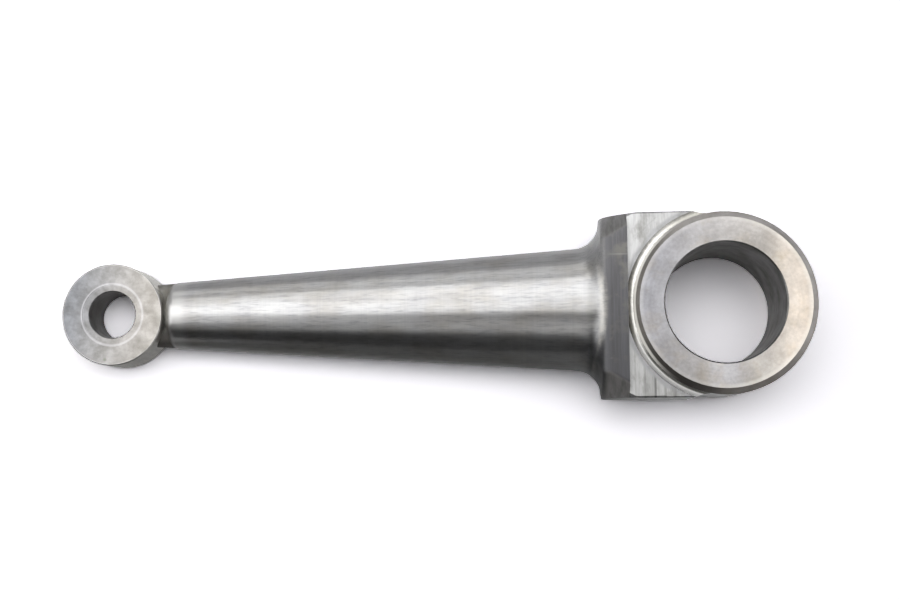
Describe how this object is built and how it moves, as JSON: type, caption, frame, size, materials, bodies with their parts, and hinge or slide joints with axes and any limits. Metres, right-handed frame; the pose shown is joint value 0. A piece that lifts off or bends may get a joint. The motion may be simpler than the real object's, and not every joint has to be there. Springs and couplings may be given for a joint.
{
  "type": "brake lever",
  "caption": "One-piece machined steel lever: a thick bored hub with a milled block beside it, a turned tapering arm and a small bored eye at the far end.",
  "frame": {"origin": "on the axis of the hub's bore, halfway between the hub's two faces", "axes": "+Z along the hub's bore, -X along the arm towards the eye, +Y across the arm"},
  "size_m": [0.1639, 0.0396, 0.0298],
  "materials": {
    "machined_steel": "bare steel, turned on the arm, milled on the block, worn smooth on the hub and eye faces"
  },
  "bodies": {
    "root": {"brake_lever": "machined_steel"}
  },
  "joints": []
}
